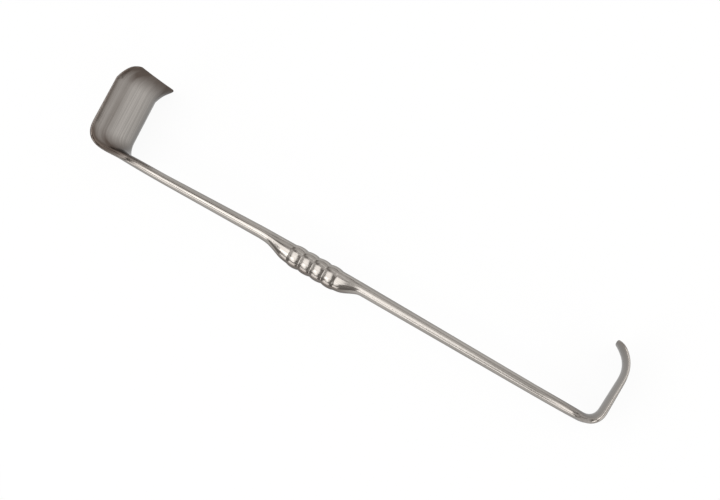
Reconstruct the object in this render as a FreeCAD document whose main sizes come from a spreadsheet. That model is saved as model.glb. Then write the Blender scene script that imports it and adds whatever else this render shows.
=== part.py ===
import FreeCAD, Part
import math
import os

import Sketcher

# Double-ended hand-held retractor, forged and bent from one bar.
# It lies on its side: X runs along the bar (large blade at -X, small blade at +X),
# both blades point to +Y, and Z is the width of the blades, up from the table.

Vector = FreeCAD.Vector
doc = FreeCAD.newDocument("retractor")

# Driving sizes, in millimetres and degrees
SIZES = [
    ("bar_length", 155.6, "bar between the starts of its two end bends"),
    ("bar_width_mid", 5.4, "bar across beside the grip, in the direction of the blades' width"),
    ("bar_width_end", 4.4, "bar across where it starts to flare"),
    ("bar_thick_mid", 3.7, "bar thickness beside the grip"),
    ("bar_thick_end", 3.0, "bar thickness where it starts to flare"),
    ("bar_edge_mid", 1.3, "rounding radius of the bar's two sides beside the grip"),
    ("bar_edge_end", 1.05, "rounding radius of the bar's two sides where it starts to flare"),
    ("bar_bow", 0.6, "how far the bar's middle bows towards the blades' side"),
    ("grip_shift", -8.2, "middle of the grip from the middle of the bar"),
    ("grip_thick", 6.2, "grip from front to back, in the valleys between rings"),
    ("grip_oval", 0.7, "how much wider the grip is across than from front to back"),
    ("grip_drop", 1.2, "how far the grip's middle sits behind the bar's middle"),
    ("grip_edge", 2.35, "rounding radius of the grip's sides"),
    ("ring_count", 4, "number of rings round the grip"),
    ("ring_pitch", 4.0, "spacing of the grip's rings"),
    ("ring_height", 0.32, "height of a ring over the valleys"),
    ("runout_large", 11.1, "length of the grip's slope towards the large blade"),
    ("runout_small", 7.1, "length of the grip's slope towards the small blade"),
    ("flare_run", 14.0, "length over which the bar widens before a bend"),
    ("large_width", 28.4, "large blade across its straight sides"),
    ("large_bend", 5.0, "large end's bend, middle radius"),
    ("large_turn", 88.0, "large end's bend, turn"),
    ("large_straight", 14.9, "straight part of the large blade"),
    ("large_lip_radius", 8.8, "large blade's lip, middle radius"),
    ("large_lip_turn", 43.0, "large blade's lip, turn"),
    ("large_sheet", 1.35, "thickness of the large blade's lip"),
    ("large_arch", 2.8, "how far the large blade's sides stand back from its middle"),
    ("large_tip_arch", 0.2, "how far they stand back at the tip of its lip"),
    ("large_corner", 2.9, "corner radius of the large blade's lip"),
    ("small_width", 19.8, "small blade across its straight sides"),
    ("small_bend", 3.9, "small end's bend, middle radius"),
    ("small_turn", 88.0, "small end's bend, turn"),
    ("small_straight", 10.3, "straight part of the small blade"),
    ("small_lip_radius", 7.9, "small blade's lip, middle radius"),
    ("small_lip_turn", 75.0, "small blade's lip, turn"),
    ("small_sheet", 1.35, "thickness of the small blade's lip"),
    ("small_arch", 1.25, "how far the small blade's sides stand back from its middle"),
    ("small_tip_arch", 1.1, "how far they stand back at the tip of its lip"),
    ("small_corner", 3.4, "corner radius of the small blade's lip"),
    ("tip_edge", 0.8, "thickness of a lip at its tip"),
    ("blade_edge", 0.3, "rounding radius of a blade's sides"),
]

# Shares of the run, of the widening and of the thinning, from the bar to the start of a bend
FLARE = ((0, 0, 0), (0.25, 0.005, 0), (0.5, 0.03, 0.02), (0.75, 0.09, 0.07), (1, 0.21, 0.15))
BEND_STEPS = 5
# Share of each end's bend at which the blade has its full width, and how square the shoulders are
SHOULDER_END = {"large": 0.6, "small": 0.7}
SHOULDER_POWER = 1.35
# Share of the thinning that is done at the end of a bend
BEND_THINNING = 0.75
LIP_STEPS = 4
# Places round a lip's rounded corners, in degrees from the blade's side
CORNER_ANGLES = (0, 20, 40, 58, 74)
TIP_ROUNDING = 0.42
# Shares of a ring's length and of its height, and of a slope's length and its rise to the grip
RING = ((0, 0), (0.2, 0.75), (0.5, 1), (0.8, 0.75), (1, 0))
SLOPE_LARGE = ((0, 0), (0.25, 0.08), (0.5, 0.42), (0.75, 0.83), (1, 1))
SLOPE_SMALL = ((0, 0), (0.25, 0.3), (0.5, 0.65), (0.75, 0.93), (1, 1))


def make_sheet():
    """The spreadsheet that holds the driving sizes."""
    sheet = doc.addObject("Spreadsheet::Sheet", "Dims")
    for row, (alias, value, meaning) in enumerate(SIZES, start=1):
        sheet.set(f"A{row}", alias)
        sheet.set(f"B{row}", str(value))
        sheet.set(f"C{row}", meaning)
        sheet.setAlias(f"B{row}", alias)
    doc.recompute()
    return sheet


sheet = make_sheet()
body = doc.addObject("PartDesign::Body", "retractor")
body.Label = "retractor"
section_plane = [f for f in body.Origin.OriginFeatures if f.Role == "YZ_Plane"][0]


def cell(alias):
    return f"Dims.{alias}"


def value(expression):
    """What an expression on the sheet comes to now, as a plain number."""
    return float(sheet.evalExpression(str(expression)))


def blend(start, end, share):
    """Expression for the size that is a share of the way from start to end."""
    return f"({start} + {share} * ({end} - {start}))"


def smooth(share):
    """0 to 1 with a level start and a level end."""
    return math.sin(share * math.pi / 2) ** 2


# One cross-section: the inner face's arc, the outer face's arc and a round side at each end.
# Each side is two arcs that meet at its outermost point.
# In the sketch, x points to the inside of the C and y runs across the blade.
INNER, LOW_FRONT, LOW_BACK, OUTER, HIGH_BACK, HIGH_FRONT, INNER_MARK, OUTER_MARK = range(8)
ORIGIN = -1
START, END, CENTRE = range(1, 4)


def section_arcs(width, thick, droop, edge):
    """The six arcs of a cross-section, in order round it."""
    half = width / 2 - edge
    side = Vector(-droop, half, 0)
    inner_radius = (half**2 + (droop + thick / 2) ** 2 - edge**2) / (2 * (droop + thick / 2 - edge))
    outer_radius = (half**2 + (droop - thick / 2) ** 2 - edge**2) / (2 * (thick / 2 - droop - edge))
    inner_centre = Vector(thick / 2 - inner_radius, 0, 0)
    outer_centre = Vector(outer_radius - thick / 2, 0, 0)
    inner_touch = inner_centre + (side - inner_centre).normalize() * inner_radius
    outer_touch = outer_centre + (side - outer_centre).normalize() * abs(outer_radius)
    outermost = side + Vector(0, edge, 0)

    def side_arc(start, end):
        middle = side + ((start - side).normalize() + (end - side).normalize()).normalize() * edge
        return start, middle, end

    def mirrored(points):
        return [Vector(point.x, -point.y, 0) for point in reversed(points)]

    front = side_arc(outermost, inner_touch)
    back = side_arc(outer_touch, outermost)
    across_front = (inner_touch, Vector(thick / 2, 0, 0), *mirrored([inner_touch]))
    across_back = (*mirrored([outer_touch]), Vector(-thick / 2, 0, 0), outer_touch)
    arcs = (across_front, mirrored(front), mirrored(back), across_back, back, front)
    return [Part.Arc(*points) for points in arcs]


def shared_ends(sketch, arc, other):
    """The numbers of the end points at which arc and other meet."""
    ends = [(a, b) for a in (START, END) for b in (START, END)]
    return min(ends, key=lambda e: (sketch.getPoint(arc, e[0]) - sketch.getPoint(other, e[1])).Length)


def bind(sketch, kind, *places, size, name):
    """A size constraint that follows an expression on the sheet."""
    index = sketch.addConstraint(Sketcher.Constraint(kind, *places, value(size)))
    sketch.renameConstraint(index, name)
    sketch.setExpression(f"Constraints.{name}", size)


def section(name, x, y, heading, width, thick, droop, edge):
    """Sketch of the cross-section at (x, y), square to a path that heads that many degrees to +Y."""
    sketch = body.newObject("Sketcher::SketchObject", name)
    sketch.AttachmentSupport = [(section_plane, "")]
    sketch.MapMode = "FlatFace"
    sketch.AttachmentOffset = FreeCAD.Placement(Vector(), FreeCAD.Rotation(Vector(0, 1, 0), 0))
    sketch.setExpression("AttachmentOffset.Base.x", y)
    sketch.setExpression("AttachmentOffset.Base.z", x)
    sketch.setExpression("AttachmentOffset.Rotation.Angle", f"({heading}) * 1 deg")
    sketch.addGeometry(section_arcs(value(width), value(thick), value(droop), value(edge)))
    half_thick = value(thick) / 2
    marks = [Part.Point(Vector(half_thick, 0, 0)), Part.Point(Vector(-half_thick, 0, 0))]
    sketch.addGeometry(marks, True)

    def fix(kind, *places):
        sketch.addConstraint(Sketcher.Constraint(kind, *places))

    for across, other in ((INNER, LOW_FRONT), (LOW_BACK, OUTER), (OUTER, HIGH_BACK), (HIGH_FRONT, INNER)):
        here, there = shared_ends(sketch, across, other)
        fix("Tangent", across, here, other, there)
    for front, back in ((LOW_FRONT, LOW_BACK), (HIGH_FRONT, HIGH_BACK)):
        here, there = shared_ends(sketch, front, back)
        fix("Coincident", front, here, back, there)
        fix("Coincident", front, CENTRE, back, CENTRE)
        fix("Vertical", front, CENTRE, front, here)
    fix("Symmetric", LOW_FRONT, CENTRE, HIGH_FRONT, CENTRE, ORIGIN)
    fix("Equal", LOW_FRONT, HIGH_FRONT)
    for mark, arc in ((INNER_MARK, INNER), (OUTER_MARK, OUTER)):
        fix("PointOnObject", mark, START, ORIGIN)
        fix("PointOnObject", mark, START, arc)
    bind(sketch, "DistanceY", ORIGIN, START, HIGH_FRONT, CENTRE, size=f"{width} / 2 - {edge}", name="half_width")
    bind(sketch, "DistanceX", ORIGIN, START, HIGH_FRONT, CENTRE, size=f"-1 * {droop}", name="droop")
    bind(sketch, "Radius", HIGH_FRONT, size=f"{edge}", name="side_radius")
    bind(sketch, "DistanceX", ORIGIN, START, INNER_MARK, START, size=f"{thick} / 2", name="inner_face")
    bind(sketch, "DistanceX", ORIGIN, START, OUTER_MARK, START, size=f"-1 * {thick} / 2", name="outer_face")
    return sketch


def loft(name, sections, straight_runs=False):
    """One skin through a row of cross-sections, smooth or with straight runs between them."""
    feature = body.newObject("PartDesign::AdditiveLoft", name)
    feature.Profile = sections[0]
    feature.Sections = sections[1:]
    feature.Ruled = straight_runs
    doc.recompute()
    return feature


# A blade end: the bar flares, bends up, runs straight and curls back in a lip


def path(side, size, bend, straight, lip):
    """Place and heading after these shares of the bend, the straight part and the lip."""
    turn = f"({size('turn')} * {bend:.4f} * 1 deg)"
    full = f"({size('turn')} * 1 deg)"
    tip = f"(({size('turn')} + {size('lip_turn')} * {lip}) * 1 deg)"
    x = (
        f"{side} * ({cell('bar_length')} / 2 + {size('bend')} * sin({turn})"
        f" + {size('straight')} * {straight:.4f} * cos({full})"
        f" + {size('lip_radius')} * (sin({tip}) - sin({full})))"
    )
    y = (
        f"{size('bend')} * (1 - cos({turn})) + {size('straight')} * {straight:.4f} * sin({full})"
        f" + {size('lip_radius')} * (cos({full}) - cos({tip}))"
    )
    heading = f"{side} * ({size('turn')} * {bend:.4f} + {size('lip_turn')} * {lip})"
    return x, y, heading


def corner_share(size):
    """Share of the lip's turn that its rounded corners take up."""
    return f"({size('corner')} / ({size('lip_radius')} * {size('lip_turn')} * pi / 180))"


def blade_end(name, side):
    """Cross-sections from the bar to the tip of the lip, and the skins through them."""

    def size(part):
        return cell(f"{name}_{part}")

    def arch(lip):
        """How far the sides stand back from the middle after this share of the lip."""
        return blend(size("arch"), size("tip_arch"), lip)

    def flared(label, place, flare, thinning, lip=0):
        """A cross-section that has gone these shares of the way from bar to blade, and along the lip."""
        width = blend(cell("bar_width_end"), size("width"), flare)
        thick = blend(cell("bar_thick_end"), size("sheet"), thinning)
        droop = f"({arch(lip)} * {flare ** 2:.4f})"
        edge = blend(cell("bar_edge_end"), cell("blade_edge"), thinning)
        return section(f"{name}_{label}", *place, width, thick, droop, edge)

    def corner_section(angle):
        """A cross-section this many degrees round the lip's rounded corners."""
        back = 1 - math.sin(math.radians(angle))
        inset = 1 - math.cos(math.radians(angle))
        lip = f"(1 - {back:.4f} * {corner_share(size)})"
        width = f"({size('width')} - 2 * {inset:.4f} * {size('corner')})"
        droop = f"({arch(lip)} * ({width} / {size('width')})^2)"
        share = angle / CORNER_ANGLES[-1]
        thick = blend(size("sheet"), cell("tip_edge"), smooth(share))
        edge = blend(cell("blade_edge"), f"({TIP_ROUNDING} * {cell('tip_edge')})", smooth(share))
        return section(f"{name}_corner_{angle}", *path(side, size, 1, 1, lip), width, thick, droop, edge)

    flare = []
    for run, spread, thinning in FLARE:
        x = f"{side} * ({cell('bar_length')} / 2 - {cell('flare_run')} * {1 - run:.4f})"
        flare.append(flared(f"flare_{run * 100:.0f}", (x, "0", "0"), spread, thinning))
    loft(f"{name}_flare", flare, straight_runs=True)

    bend = [flare[-1]]
    _, bar_spread, bar_thinning = FLARE[-1]
    for step in range(1, BEND_STEPS + 1):
        share = step / BEND_STEPS
        widening = math.sin(min(share / SHOULDER_END[name], 1) * math.pi / 2) ** SHOULDER_POWER
        spread = bar_spread + (1 - bar_spread) * widening
        thinning = bar_thinning + (BEND_THINNING - bar_thinning) * share
        bend.append(flared(f"bend_{step}", path(side, size, share, 0, 0), spread, thinning))
    loft(f"{name}_bend", bend)

    lip = [flared("lip_0", path(side, size, 1, 1, 0), 1, 1)]
    loft(f"{name}_straight", [bend[-1], lip[0]])
    for step in range(1, LIP_STEPS):
        share = f"({step} / {LIP_STEPS} * (1 - {corner_share(size)}))"
        lip.append(flared(f"lip_{step}", path(side, size, 1, 1, share), 1, 1, share))
    corner = [corner_section(angle) for angle in CORNER_ANGLES]
    loft(f"{name}_lip", lip + corner[:1])
    loft(f"{name}_tip", corner)
    return flare[0]


large_start = blade_end("large", -1)
small_start = blade_end("small", 1)

# The grip: ribbed rings in the middle, and a slope down to the bar on each side


def oval(name, x, width, thick, drop, edge):
    """Cross-section square to the bar, its middle this far behind the bar's middle."""
    return section(name, x, f"({cell('bar_bow')} - {drop})", "0", width, thick, "0", edge)


def grip_width():
    """Expression for the grip's size across, in the valleys between rings."""
    return f"({cell('grip_thick')} + {cell('grip_oval')})"


def ring_section(name, x, rise):
    """The grip's cross-section, this share of a ring's height over the valleys."""
    lift = f"{rise:.4f} * {cell('ring_height')}"
    width = f"({grip_width()} + 2 * {lift})"
    thick = f"({cell('grip_thick')} + 2 * {lift})"
    return oval(name, x, width, thick, cell("grip_drop"), f"({cell('grip_edge')} + {lift})")


def slope_section(name, x, share):
    """Cross-section that has gone this share of the way from the bar up to the grip."""
    width = blend(cell("bar_width_mid"), grip_width(), share)
    thick = blend(cell("bar_thick_mid"), cell("grip_thick"), share)
    edge = blend(cell("bar_edge_mid"), cell("grip_edge"), share)
    return oval(name, x, width, thick, f"{cell('grip_drop')} * {share:.4f}", edge)


def slope(name, foot, top, stations):
    """The slope from the bar up to the grip on one side; gives the section at its foot."""
    sections = []
    for run, rise in stations:
        x = blend(foot, top, run)
        sections.append(slope_section(f"{name}_slope_{run * 100:.0f}", x, rise))
    loft(f"{name}_slope", sections, straight_runs=True)
    return sections[0]


def ring_row(start):
    """One ring that starts at this x, repeated along the bar."""
    sections = []
    for run, rise in RING:
        x = f"({start} + {run:.4f} * {cell('ring_pitch')})"
        sections.append(ring_section(f"ring_{run * 100:.0f}", x, rise))
    ring = loft("ring", sections, straight_runs=True)
    row = body.newObject("PartDesign::LinearPattern", "rings")
    row.Originals = [ring]
    row.Direction = ([f for f in body.Origin.OriginFeatures if f.Role == "X_Axis"][0], [""])
    row.setExpression("Occurrences", cell("ring_count"))
    row.setExpression("Length", f"({cell('ring_count')} - 1) * {cell('ring_pitch')}")
    body.Tip = row
    doc.recompute()


half_row = f"({cell('ring_count')} / 2 * {cell('ring_pitch')})"
grip_start = f"({cell('grip_shift')} - {half_row})"
grip_end = f"({cell('grip_shift')} + {half_row})"
large_foot = slope("large", f"({grip_start} - {cell('runout_large')})", grip_start, SLOPE_LARGE)
loft("large_bar", [large_start, large_foot])
ring_row(grip_start)
small_foot = slope("small", f"({grip_end} + {cell('runout_small')})", grip_end, SLOPE_SMALL)
loft("small_bar", [small_foot, small_start])


def lay_flat():
    """Turn the body until both blades rest on their lower sides, and centre it over the origin."""
    tilt = f"atan(({cell('large_width')} - {cell('small_width')}) / 2 / {cell('bar_length')})"
    body.Placement = FreeCAD.Placement(Vector(), FreeCAD.Rotation(Vector(0, 1, 0), 1))
    body.setExpression("Placement.Rotation.Angle", tilt)
    doc.recompute()
    box = body.Shape.optimalBoundingBox()
    body.Placement.Base = Vector(-box.Center.x, -box.Center.y, -box.ZMin)


def check():
    """Stop if any object failed or the finished shape is not one sound solid."""
    doc.recompute()
    failed = [item.Name for item in doc.Objects if {"Invalid", "Error"} & set(item.State)]
    if failed:
        raise RuntimeError(f"failed objects: {failed}")
    shape = body.Shape
    if shape.isNull() or not shape.isValid() or len(shape.Solids) != 1:
        raise RuntimeError("the retractor is not one valid solid")


lay_flat()
check()
os.makedirs("parts", exist_ok=True)
body.Shape.exportStep(f"parts/{body.Label}.step")
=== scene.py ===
"""Looks for a double-ended hand-held retractor, forged from one bar of satin steel."""

import math

import bpy
import numpy as np
from mathutils import Matrix, Vector


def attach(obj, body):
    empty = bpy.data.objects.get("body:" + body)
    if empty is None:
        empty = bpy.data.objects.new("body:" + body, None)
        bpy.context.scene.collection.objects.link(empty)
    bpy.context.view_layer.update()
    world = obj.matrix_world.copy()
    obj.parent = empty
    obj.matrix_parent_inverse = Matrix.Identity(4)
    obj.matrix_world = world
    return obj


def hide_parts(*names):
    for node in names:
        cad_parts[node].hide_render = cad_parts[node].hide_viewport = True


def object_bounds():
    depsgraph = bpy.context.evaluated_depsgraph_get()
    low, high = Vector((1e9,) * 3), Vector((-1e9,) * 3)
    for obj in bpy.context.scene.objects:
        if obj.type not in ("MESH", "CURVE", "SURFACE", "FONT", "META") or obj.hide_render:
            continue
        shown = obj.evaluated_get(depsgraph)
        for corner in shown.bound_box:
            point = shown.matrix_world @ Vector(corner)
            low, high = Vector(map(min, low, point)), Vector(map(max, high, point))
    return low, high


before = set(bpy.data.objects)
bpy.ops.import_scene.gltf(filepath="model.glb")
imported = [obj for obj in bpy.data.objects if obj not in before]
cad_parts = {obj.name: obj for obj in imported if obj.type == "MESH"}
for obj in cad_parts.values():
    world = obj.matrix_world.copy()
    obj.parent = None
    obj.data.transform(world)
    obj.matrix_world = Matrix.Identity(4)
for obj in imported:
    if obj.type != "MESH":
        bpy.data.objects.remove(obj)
cad_low, cad_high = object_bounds()

MM = 0.001

# Sizes of the retractor, in millimetres and degrees, as in the part's own source
BAR_LENGTH = 155.6
BAR_WIDTH_MID, BAR_WIDTH_END = 5.4, 4.4
BAR_THICK_MID, BAR_THICK_END = 3.7, 3.0
BAR_EDGE_MID, BAR_EDGE_END = 1.3, 1.05
BAR_BOW = 0.6
GRIP_SHIFT, GRIP_DROP = -8.2, 1.2
GRIP_WIDTH, GRIP_THICK, GRIP_EDGE = 6.9, 6.2, 2.35
RING_COUNT, RING_PITCH, RING_HEIGHT = 4, 4.0, 0.32
RUNOUT = {"large": 11.1, "small": 7.1}
# How far the grip's diagonals stand out, as a share of their length, how round its rings' tops are,
# and how soft the valleys between them are, as a share of a ring's height
GRIP_SQUARENESS = 0.1
RING_ROUNDNESS, VALLEY_SOFTNESS = 0.7, 0.2
FLARE_RUN = 14.0
TIP_EDGE, BLADE_EDGE = 0.8, 0.3
# The last two entries of each end are not sizes: how strong the painted shade is at its bend and lip, and
# how strong the painted dark reflections are in streaks along its rims
LARGE = dict(width=28.4, bend=5.0, turn=88, straight=14.9, lip_radius=8.8, lip_turn=43, sheet=1.35,
             arch=2.8, tip_arch=0.2, corner=2.9, shoulder_end=0.6, painted_shade=1, rim_painted_reflection=1)
SMALL = dict(width=19.8, bend=3.9, turn=88, straight=10.3, lip_radius=7.9, lip_turn=75, sheet=1.35,
             arch=1.25, tip_arch=1.1, corner=3.4, shoulder_end=0.7, painted_shade=0.4, rim_painted_reflection=0)
# Shares of the widening and thinning that are done where a bend starts, and where it ends
FLARE_WIDENING, FLARE_THINNING, BEND_THINNING = 0.21, 0.15, 0.75
# How late along the flare its widening and thinning come, and how late along the bend the shoulder comes
WIDENING_POWER, THINNING_POWER, SHOULDER_POWER = 3, 2.7, 1.35
# How far the grip's two slopes have risen, at even steps from their feet to the grip
SLOPE_RISE = {"large": (0, 0.08, 0.42, 0.83, 1), "small": (0, 0.3, 0.65, 0.93, 1)}
# The solid's tip stops this far round its corners
LAST_CORNER = math.radians(74)
# Edge radius at the tip, and the skin's least thickness there, as shares of the thickness
TIP_ROUNDING, TIP_LEAST = 0.42, 0.05

# How finely the skin is sampled, in millimetres and points
FINE_STEP = 0.05
STATION_STEP = 0.32
RING_STEP = 0.12
ACROSS_POINTS, SIDE_POINTS = 12, 7
CORNER_STATIONS = 30
# Over how many millimetres the changes of form are softened, and how many times that a bell reaches
SOFTENING, SHOULDER_SOFTENING = 0.7, 1.5
BELL_REACH = 3
# An outer face with less room than this is drawn as flat, in millimetres
FLAT_GAP = 1e-6
# Painted shade and dark reflections, laid into the steel's colour at the bends, towards the lips' tips and
# on the grip's
# outer face: how strong it is at a bend and on the grip, and the share of a lip over which it comes up
BEND_PAINTED_SHADE_STRENGTH, GRIP_PAINTED_REFLECTION_STRENGTH, PAINTED_SHADE_RISE = 1, 0.8, 0.8
# Where the grip's painted dark reflection starts and is full, as shares of the half thickness towards the
# outer face
GRIP_PAINTED_REFLECTION_REACH = (0.45, 0.75)
# A wide blade's rims get painted dark reflections in streaks: share of the half width, and strength there
RIM_PAINTED_STREAKS = ((0.35, 0), (0.6, 0.25), (0.7, 0.75), (0.8, 0.3), (0.9, 0.4), (1, 1))
# How far the skin stays inside the solid's box, in millimetres
SKIN_GAP = 0.005


def lengths(end):
    """Lengths along the middle line of an end's bend, straight part and lip."""
    lip = end["lip_radius"] * math.radians(end["lip_turn"]) - end["corner"] * (1 - math.sin(LAST_CORNER))
    return end["bend"] * math.radians(end["turn"]), end["straight"], lip


def end_reach(end):
    return BAR_LENGTH / 2 + sum(lengths(end))


def softened(values, reach):
    """The values along the fine line, averaged over a bell of that many millimetres."""
    half = int(BELL_REACH * reach / FINE_STEP)
    bell = np.exp(-0.5 * (np.arange(-half, half + 1) * FINE_STEP / reach) ** 2)
    return np.convolve(np.pad(values, half, mode="edge"), bell / bell.sum(), mode="valid")


def end_profile(end, away):
    """Curvature, widening, thinning, curl and painted shade, this far from the bar's middle along one end.
    """
    bend, straight, lip = lengths(end)
    start = BAR_LENGTH / 2
    run = np.clip((away - start + FLARE_RUN) / FLARE_RUN, 0, 1)
    share = np.clip((away - start) / bend, 0, 1)
    shoulder = np.sin(np.minimum(share / end["shoulder_end"], 1) * math.pi / 2) ** SHOULDER_POWER
    widening = FLARE_WIDENING * run**WIDENING_POWER + (1 - FLARE_WIDENING) * shoulder
    thinning = FLARE_THINNING * run**THINNING_POWER + (BEND_THINNING - FLARE_THINNING) * share
    thinning += (1 - BEND_THINNING) * np.clip((away - start - bend) / straight, 0, 1)
    in_bend = (away > start) & (away < start + bend)
    in_lip = away > start + bend + straight
    full_lip = end["lip_radius"] * math.radians(end["lip_turn"])
    curl = np.clip((away - start - bend - straight) / full_lip, 0, 1)
    # Painted shade in the bend, fading out along it, and painted dark reflection that comes up towards the
    # lip's tip
    bend_painted_shade = BEND_PAINTED_SHADE_STRENGTH * run * np.cos(share * math.pi / 2)
    painted_shade = end["painted_shade"] * (bend_painted_shade + np.minimum(curl / PAINTED_SHADE_RISE, 1))
    return in_bend / end["bend"] + in_lip / end["lip_radius"], widening, thinning, curl, painted_shade


def fine_line():
    """Place, heading and cross-section at close steps along the whole middle line."""
    along = np.arange(-end_reach(LARGE), end_reach(SMALL) + FINE_STEP / 2, FINE_STEP)
    profiles = [end_profile(LARGE, -along), end_profile(SMALL, along)]
    curvature = softened(profiles[0][0] + profiles[1][0], SOFTENING)
    half_row = RING_COUNT * RING_PITCH / 2
    grip_start, grip_end = GRIP_SHIFT - half_row, GRIP_SHIFT + half_row
    feet = (grip_start - RUNOUT["large"], grip_end + RUNOUT["small"])
    bar_ends = (FLARE_RUN - BAR_LENGTH / 2, BAR_LENGTH / 2 - FLARE_RUN)
    rise_keys = (
        *np.linspace(feet[0], grip_start, len(SLOPE_RISE["large"])),
        *np.linspace(grip_end, feet[1], len(SLOPE_RISE["small"])),
    )
    rise = np.interp(along, rise_keys, (*SLOPE_RISE["large"], *SLOPE_RISE["small"][::-1]))
    rise = softened(rise, SOFTENING)
    nearness = np.interp(along, (bar_ends[0], *feet, bar_ends[1]), (0, 1, 1, 0))
    nearness = softened(nearness, SOFTENING)

    def mixed(end_value, mid_value, grip_value):
        bar = end_value + (mid_value - end_value) * nearness
        return bar + (grip_value - mid_value) * rise

    width = mixed(BAR_WIDTH_END, BAR_WIDTH_MID, GRIP_WIDTH)
    thick = mixed(BAR_THICK_END, BAR_THICK_MID, GRIP_THICK)
    edge = mixed(BAR_EDGE_END, BAR_EDGE_MID, GRIP_EDGE)
    droop = np.zeros_like(along)
    painted_shade, rim_painted_reflection = np.zeros_like(along), np.zeros_like(along)
    for end, (_, widening, thinning, curl, end_painted_shade) in zip((LARGE, SMALL), profiles):
        wide, thin = softened(widening, SHOULDER_SOFTENING), softened(thinning, SOFTENING)
        width += (end["width"] - BAR_WIDTH_END) * wide
        thick += (end["sheet"] - BAR_THICK_END) * thin
        edge += (BLADE_EDGE - BAR_EDGE_END) * thin
        droop += (end["arch"] + (end["tip_arch"] - end["arch"]) * curl) * wide**2
        painted_shade += softened(end_painted_shade, SOFTENING)
        rim_painted_reflection += end["rim_painted_reflection"] * wide
    middle = np.argmin(np.abs(along))
    heading = np.cumsum(curvature) * FINE_STEP
    heading -= heading[middle]
    x = np.cumsum(np.cos(heading)) * FINE_STEP
    y = np.cumsum(np.sin(heading)) * FINE_STEP
    offset = BAR_BOW * nearness - GRIP_DROP * rise
    line = dict(x=x - x[middle], y=y - y[middle], heading=heading, offset=offset, width=width, thick=thick,
                edge=edge, droop=droop, squareness=GRIP_SQUARENESS * rise, painted_shade=painted_shade, rim_painted_reflection=rim_painted_reflection,
                grip_painted_reflection=GRIP_PAINTED_REFLECTION_STRENGTH * rise)
    return along, line, grip_start, grip_end


def stations(grip_start, grip_end):
    """Where the skin's cross-sections stand along the middle line."""
    corners = []
    for end, side in ((LARGE, -1), (SMALL, 1)):
        angle = np.linspace(0, math.pi / 2, CORNER_STATIONS)
        corners.append(side * (end_reach(end) - end["corner"] * (1 - np.sin(angle))))
    low, high = corners[0][0], corners[1][0]
    runs = [np.arange(low, grip_start, STATION_STEP), np.arange(grip_start, grip_end, RING_STEP),
            np.arange(grip_end, high, STATION_STEP)]
    return np.concatenate([corners[0][::-1], *[run[1:] for run in runs], corners[1]])


def cross_section(width, thick, droop, edge):
    """Points round a cross-section: inner face, low side, outer face, high side."""
    half = width / 2 - edge
    inner_radius = (half**2 + (droop + thick / 2) ** 2 - edge**2) / (2 * (droop + thick / 2 - edge))
    gap = thick / 2 - droop - edge
    gap = gap if abs(gap) > FLAT_GAP else FLAT_GAP
    outer_radius = (half**2 + (droop - thick / 2) ** 2 - edge**2) / (2 * gap)
    side = np.array([-droop, half])
    inner_centre = np.array([thick / 2 - inner_radius, 0.0])
    outer_centre = np.array([outer_radius - thick / 2, 0.0])
    lean = math.atan2(half, -droop - inner_centre[0])
    away = (side - outer_centre) / np.hypot(*(side - outer_centre)) * abs(outer_radius)
    touch = outer_centre + away - side
    back = math.atan2(touch[1], touch[0]) % (2 * math.pi)
    angles = np.linspace(lean, -lean, 2 * ACROSS_POINTS, endpoint=False)
    inner = inner_centre + inner_radius * np.stack([np.cos(angles), np.sin(angles)], 1)
    share = np.linspace(0, 1, 2 * SIDE_POINTS, endpoint=False)
    angles = -lean + (lean - back) * share
    low = side * (1, -1) + edge * np.stack([np.cos(angles), np.sin(angles)], 1)
    reach = side[1] + touch[1]
    across = np.linspace(-reach, reach, 2 * ACROSS_POINTS, endpoint=False)
    depth = np.sqrt(np.maximum(outer_radius**2 - across**2, 0)) * math.copysign(1, outer_radius)
    outer = np.stack([outer_centre[0] - depth, across], 1)
    angles = back + (lean - back) * share
    high = side + edge * np.stack([np.cos(angles), np.sin(angles)], 1)
    return np.concatenate([inner, low, outer, high])


def squared(flat, squareness):
    """The cross-section with its diagonals pushed out by that share, which flattens its faces."""
    angles = np.arctan2(flat[:, 1], flat[:, 0])
    return flat * (1 + squareness * np.sin(2 * angles) ** 2)[:, None]


def painted_shade_round(at, flat):
    """How much painted shade and painted dark reflection is at each point round a cross-section."""
    across = np.linspace(1, -1, 2 * ACROSS_POINTS, endpoint=False)
    share = np.linspace(0, 1, 2 * SIDE_POINTS, endpoint=False)
    # Painted shade from the bends and lips, and painted dark reflections in streaks along a wide blade's
    # rims
    inner = at["painted_shade"] + at["rim_painted_reflection"] * np.interp(np.abs(across), *zip(*RIM_PAINTED_STREAKS))
    rim = at["painted_shade"] + at["rim_painted_reflection"] * RIM_PAINTED_STREAKS[-1][1]
    low, high = rim * np.sqrt(1 - share), rim * np.sqrt(share)
    outer = np.zeros(2 * ACROSS_POINTS)
    # Painted dark reflection on the grip's outer face
    grip = np.interp(-flat[:, 0] / (at["thick"] / 2), GRIP_PAINTED_REFLECTION_REACH, (0, at["grip_painted_reflection"]))
    return np.concatenate([inner, low, outer, high]) + grip


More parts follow.
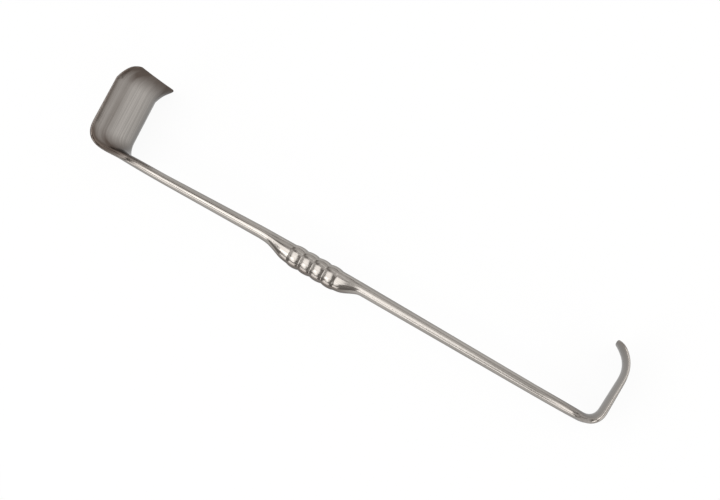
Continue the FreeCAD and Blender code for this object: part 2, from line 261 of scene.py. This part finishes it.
def skin_rings():
    """Rings of points in the body's own frame, each point's painted shade, and its place before bending.
    """
    along, line, grip_start, grip_end = fine_line()
    rings, painted_shades, unbent = [], [], []
    for s in stations(grip_start, grip_end):
        at = {key: float(np.interp(s, along, values)) for key, values in line.items()}
        if grip_start < s < grip_end:
            wave = math.hypot(math.sin(math.pi * (s - grip_start) / RING_PITCH), VALLEY_SOFTNESS)
            share = (wave - VALLEY_SOFTNESS) / (math.hypot(1, VALLEY_SOFTNESS) - VALLEY_SOFTNESS)
            lift = RING_HEIGHT * share**RING_ROUNDNESS
            at["width"] += 2 * lift
            at["thick"] += 2 * lift
            at["edge"] += lift
        end, reach = (SMALL, end_reach(SMALL) - s) if s > 0 else (LARGE, s + end_reach(LARGE))
        if reach < end["corner"]:
            sine = 1 - reach / end["corner"]
            angle = math.asin(min(max(sine, 0), 1))
            inset = 1 - math.cos(angle)
            full = at["width"]
            at["width"] -= 2 * inset * end["corner"]
            at["droop"] *= (at["width"] / full) ** 2
            thinning = math.sin(min(angle / LAST_CORNER, 1) * math.pi / 2) ** 2
            at["thick"] += (TIP_EDGE - at["thick"]) * thinning
            rounding = min(reach / (TIP_EDGE / 2), 1)
            at["thick"] *= max(math.sqrt(1 - (1 - rounding) ** 2), TIP_LEAST)
            at["edge"] = min(at["edge"], TIP_ROUNDING * at["thick"])
        flat = squared(cross_section(at["width"], at["thick"], at["droop"], at["edge"]), at["squareness"])
        sine, cosine = math.sin(at["heading"]), math.cos(at["heading"])
        out = flat[:, 0] + at["offset"]
        ring = np.stack([at["x"] - sine * out, at["y"] + cosine * out, flat[:, 1]], 1)
        rings.append(ring)
        painted_shades.append(painted_shade_round(at, flat))
        unbent.append(np.insert(flat, 0, s, 1))
    return np.array(rings), np.array(painted_shades), np.array(unbent)


def laid_flat(points):
    """Turn the points as the solid lies, and set them just inside the solid's box, in metres."""
    tilt = math.atan((LARGE["width"] - SMALL["width"]) / 2 / BAR_LENGTH)
    turn = np.array(Matrix.Rotation(tilt, 3, "Y"))
    turned = points @ turn.T * MM
    low, high = turned.min((0, 1)), turned.max((0, 1))
    box_low, box_high = np.array(cad_low), np.array(cad_high)
    fit = np.minimum((box_high - box_low - 2 * SKIN_GAP * MM) / (high - low), 1)
    return (turned - (low + high) / 2) * fit + (box_low + box_high) / 2


def skin_object(name, rings, painted_shades, unbent):
    """A closed tube of quads through the rings, with the painted shade and the unbent place at each point.
    """
    count, around, _ = rings.shape
    faces = []
    for row in range(count - 1):
        for k in range(around):
            nxt = (k + 1) % around
            here, ahead = row * around, (row + 1) * around
            faces.append((here + k, ahead + k, ahead + nxt, here + nxt))
    faces.append(tuple(range(around)))
    faces.append(tuple(reversed(range((count - 1) * around, count * around))))
    mesh = bpy.data.meshes.new(name)
    mesh.from_pydata(rings.reshape(-1, 3).tolist(), [], faces)
    mesh.polygons.foreach_set("use_smooth", [True] * len(faces))
    mesh.attributes.new("painted_shade", "FLOAT", "POINT").data.foreach_set("value", painted_shades.ravel())
    mesh.attributes.new("unbent", "FLOAT_VECTOR", "POINT").data.foreach_set("vector", unbent.ravel())
    mesh.update()
    piece = bpy.data.objects.new(name, mesh)
    bpy.context.scene.collection.objects.link(piece)
    return piece


def new_material(name):
    material = bpy.data.materials.new(name)
    material.use_nodes = True
    nodes = material.node_tree.nodes
    nodes.clear()
    return material, nodes, material.node_tree.links


def noise(nodes, links, vector, scale, detail):
    texture = nodes.new("ShaderNodeTexNoise")
    texture.inputs["Scale"].default_value = scale
    texture.inputs["Detail"].default_value = detail
    links.new(vector, texture.inputs["Vector"])
    return texture.outputs["Fac"]


def mapped(nodes, links, value, given, wanted):
    """The value, with the given range stretched to the wanted one."""
    node = nodes.new("ShaderNodeMapRange")
    node.inputs["From Min"].default_value, node.inputs["From Max"].default_value = given
    node.inputs["To Min"].default_value, node.inputs["To Max"].default_value = wanted
    links.new(value, node.inputs["Value"])
    return node.outputs["Result"]


def product(nodes, links, first, second):
    node = nodes.new("ShaderNodeMath")
    node.operation = "MULTIPLY"
    links.new(first, node.inputs[0])
    links.new(second, node.inputs[1])
    return node.outputs["Value"]


def attribute(nodes, name):
    node = nodes.new("ShaderNodeAttribute")
    node.attribute_name = name
    return node.outputs


# The steel at the bottom of a polishing line and between the lines, and the painted shade and dark
# reflections laid on it
LINE_COLOUR, STEEL_COLOUR = (0.35, 0.328, 0.305, 1), (0.43, 0.402, 0.375, 1)
PAINTED_SHADE_COLOUR = (0.11, 0.088, 0.075, 1)
STEEL_EDGE_TINT = (0.5, 0.5, 0.5, 1)
STEEL_ROUGHNESS = (0.15, 0.26)
# Polishing lines to a millimetre, along the piece and twice across it, and their depth in millimetres
LINES_PER_MM = (0.03, 2, 2)
LINE_DETAIL, LINE_STRENGTH, LINE_DEPTH = 4, 0.5, 0.05
# Handling marks to a metre, as clouds, which vary the gloss and break the painted shade into patches
CLOUDS_PER_METRE, CLOUD_DETAIL = 140, 3
# Ranges of the noise that are stretched to lines, to patches of painted shade, and to gloss
LINE_RANGE, PAINTED_SHADE_PATCH_RANGE, GLOSS_RANGE = (0.38, 0.62), (0.3, 0.7), (0.1, 0.45)
# How strong the painted shade is in its thin and its full patches
PAINTED_SHADE_PATCHES = (0.75, 1)


def steel():
    """Satin steel: fine polishing lines along the piece, faint cloudy handling marks, and painted shade
    and dark reflections in its colour.
    """
    material, nodes, links = new_material("satin_steel")
    output = nodes.new("ShaderNodeOutputMaterial")
    shader = nodes.new("ShaderNodeBsdfPrincipled")
    shader.inputs["Metallic"].default_value = 1
    shader.inputs["Specular Tint"].default_value = STEEL_EDGE_TINT
    links.new(shader.outputs["BSDF"], output.inputs["Surface"])

    stretch = nodes.new("ShaderNodeMapping")
    stretch.inputs["Scale"].default_value = LINES_PER_MM
    links.new(attribute(nodes, "unbent")["Vector"], stretch.inputs["Vector"])
    grain = noise(nodes, links, stretch.outputs["Vector"], 1, LINE_DETAIL)
    place = nodes.new("ShaderNodeTexCoord")
    clouds = noise(nodes, links, place.outputs["Object"], CLOUDS_PER_METRE, CLOUD_DETAIL)
    roughness = mapped(nodes, links, product(nodes, links, grain, clouds), GLOSS_RANGE, STEEL_ROUGHNESS)
    links.new(roughness, shader.inputs["Roughness"])

    lined = nodes.new("ShaderNodeMix")
    lined.data_type = "RGBA"
    lined.inputs["A"].default_value = LINE_COLOUR
    lined.inputs["B"].default_value = STEEL_COLOUR
    links.new(mapped(nodes, links, grain, LINE_RANGE, (0, 1)), lined.inputs["Factor"])
    # Painted shade and dark reflections: the steel's colour is pulled towards a dark brown by the painted
    # shade held at each point, in cloudy patches
    shade_patches = mapped(nodes, links, clouds, PAINTED_SHADE_PATCH_RANGE, PAINTED_SHADE_PATCHES)
    patchy_painted_shade = product(nodes, links, attribute(nodes, "painted_shade")["Fac"], shade_patches)
    colour = nodes.new("ShaderNodeMix")
    colour.data_type = "RGBA"
    links.new(lined.outputs["Result"], colour.inputs["A"])
    colour.inputs["B"].default_value = PAINTED_SHADE_COLOUR
    links.new(patchy_painted_shade, colour.inputs["Factor"])
    links.new(colour.outputs["Result"], shader.inputs["Base Color"])

    bump = nodes.new("ShaderNodeBump")
    bump.inputs["Strength"].default_value = LINE_STRENGTH
    bump.inputs["Distance"].default_value = LINE_DEPTH * MM
    links.new(grain, bump.inputs["Height"])
    links.new(bump.outputs["Normal"], shader.inputs["Normal"])
    return material


FLOOR_COLOUR = (0.9, 0.9, 0.9, 1)
# Share of the floor's look that is plain white to the camera and in reflections
WHITE_SHARE = 0.93


def floor_material():
    """Pale floor that shows white, and keeps a faint shadow of the object."""
    material, nodes, links = new_material("pale_floor")
    output = nodes.new("ShaderNodeOutputMaterial")
    diffuse = nodes.new("ShaderNodeBsdfDiffuse")
    diffuse.inputs["Color"].default_value = FLOOR_COLOUR
    white = nodes.new("ShaderNodeEmission")
    white.inputs["Strength"].default_value = 1
    path = nodes.new("ShaderNodeLightPath")
    total = path.outputs["Is Camera Ray"]
    for ray in ("Is Glossy Ray", "Is Transmission Ray"):
        add = nodes.new("ShaderNodeMath")
        add.use_clamp = True
        links.new(total, add.inputs[0])
        links.new(path.outputs[ray], add.inputs[1])
        total = add.outputs["Value"]
    share = nodes.new("ShaderNodeMath")
    share.operation = "MULTIPLY"
    share.inputs[1].default_value = WHITE_SHARE
    links.new(total, share.inputs[0])
    mix = nodes.new("ShaderNodeMixShader")
    links.new(share.outputs["Value"], mix.inputs["Fac"])
    links.new(diffuse.outputs["BSDF"], mix.inputs[1])
    links.new(white.outputs["Emission"], mix.inputs[2])
    links.new(mix.outputs["Shader"], output.inputs["Surface"])
    return material


FLOOR_HALF = 1.5


def add_floor():
    mesh = bpy.data.meshes.new("floor")
    corners = [(x * FLOOR_HALF, y * FLOOR_HALF, 0) for x, y in ((-1, -1), (1, -1), (1, 1), (-1, 1))]
    mesh.from_pydata(corners, [], [(0, 1, 2, 3)])
    floor = bpy.data.objects.new("floor", mesh)
    floor.data.materials.append(floor_material())
    floor.location.z = cad_low.z
    bpy.context.scene.collection.objects.link(floor)


WORLD_COLOUR = (0.29, 0.275, 0.26, 1)


def set_world():
    world = bpy.data.worlds.new("studio")
    world.use_nodes = True
    background = world.node_tree.nodes["Background"]
    background.inputs["Color"].default_value = WORLD_COLOUR
    bpy.context.scene.world = world


# Soft boxes: name, degrees from straight up towards +X and towards -Y, width and height in
# metres, and brightness, where 1 is white. The front is a bank of three boxes.
SOFT_BOXES = (
    ("front_high_box", -16, 3, 0.7, 0.5, 2),
    ("front_middle_box", -18, 33, 0.48, 0.28, 2.3),
    ("front_low_box", -15, 71, 0.5, 0.42, 2.3),
    ("top_box", 12, -31, 1.0, 0.36, 0.5),
    ("back_box", 0, -62, 1.2, 0.6, 0.5),
    ("right_back_box", 50, -45, 0.8, 0.8, 1.1),
    ("right_front_box", 50, 45, 0.8, 0.8, 1.1),
    ("left_box", -62, 0, 0.8, 0.6, 0.6),
)
LIT_PLACE = Vector((0, 0, 0.01))
LIGHT_DISTANCE = 0.8


def aim(obj, target):
    obj.rotation_mode = "QUATERNION"
    obj.rotation_quaternion = (Vector(target) - obj.location).to_track_quat("-Z", "Y")


def add_lights():
    for name, along, across, width, height, brightness in SOFT_BOXES:
        data = bpy.data.lights.new(name, "AREA")
        data.shape = "RECTANGLE"
        data.size = width
        data.size_y = height
        data.energy = brightness * math.pi * width * height
        light = bpy.data.objects.new(name, data)
        tilt = Matrix.Rotation(math.radians(across), 3, "X") @ Matrix.Rotation(math.radians(along), 3, "Y")
        light.location = LIT_PLACE + tilt @ Vector((0, 0, LIGHT_DISTANCE))
        aim(light, LIT_PLACE)
        bpy.context.scene.collection.objects.link(light)


CAMERA_PLACE = Vector((95.29, -5.91, 323.34)) * MM
CAMERA_TARGET = Vector((2.49, -0.72, 12.17)) * MM
CAMERA_ROLL = math.radians(29.44)
CAMERA_LENS, CAMERA_SENSOR = 56.32, 36
CAMERA_NEAR = 0.01


def add_camera():
    data = bpy.data.cameras.new("camera")
    data.lens = CAMERA_LENS
    data.sensor_width = CAMERA_SENSOR
    data.clip_start = CAMERA_NEAR
    camera = bpy.data.objects.new("camera", data)
    ahead = (CAMERA_TARGET - CAMERA_PLACE).normalized()
    level = ahead.cross(Vector((0, 1, 0))).normalized()
    upright = level.cross(ahead)
    right = level * math.cos(CAMERA_ROLL) + upright * math.sin(CAMERA_ROLL)
    up = upright * math.cos(CAMERA_ROLL) - level * math.sin(CAMERA_ROLL)
    turn = Matrix((right, up, -ahead)).transposed()
    camera.matrix_world = Matrix.Translation(CAMERA_PLACE) @ turn.to_4x4()
    bpy.context.scene.collection.objects.link(camera)
    bpy.context.scene.camera = camera


steel_rings, steel_painted_shade, steel_unbent = skin_rings()
retractor = skin_object("retractor_skin", laid_flat(steel_rings), steel_painted_shade, steel_unbent)
retractor.data.materials.append(steel())
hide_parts("retractor")
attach(retractor, "root")

add_floor()
set_world()
add_lights()
add_camera()
bpy.context.scene.view_settings.view_transform = "Standard"
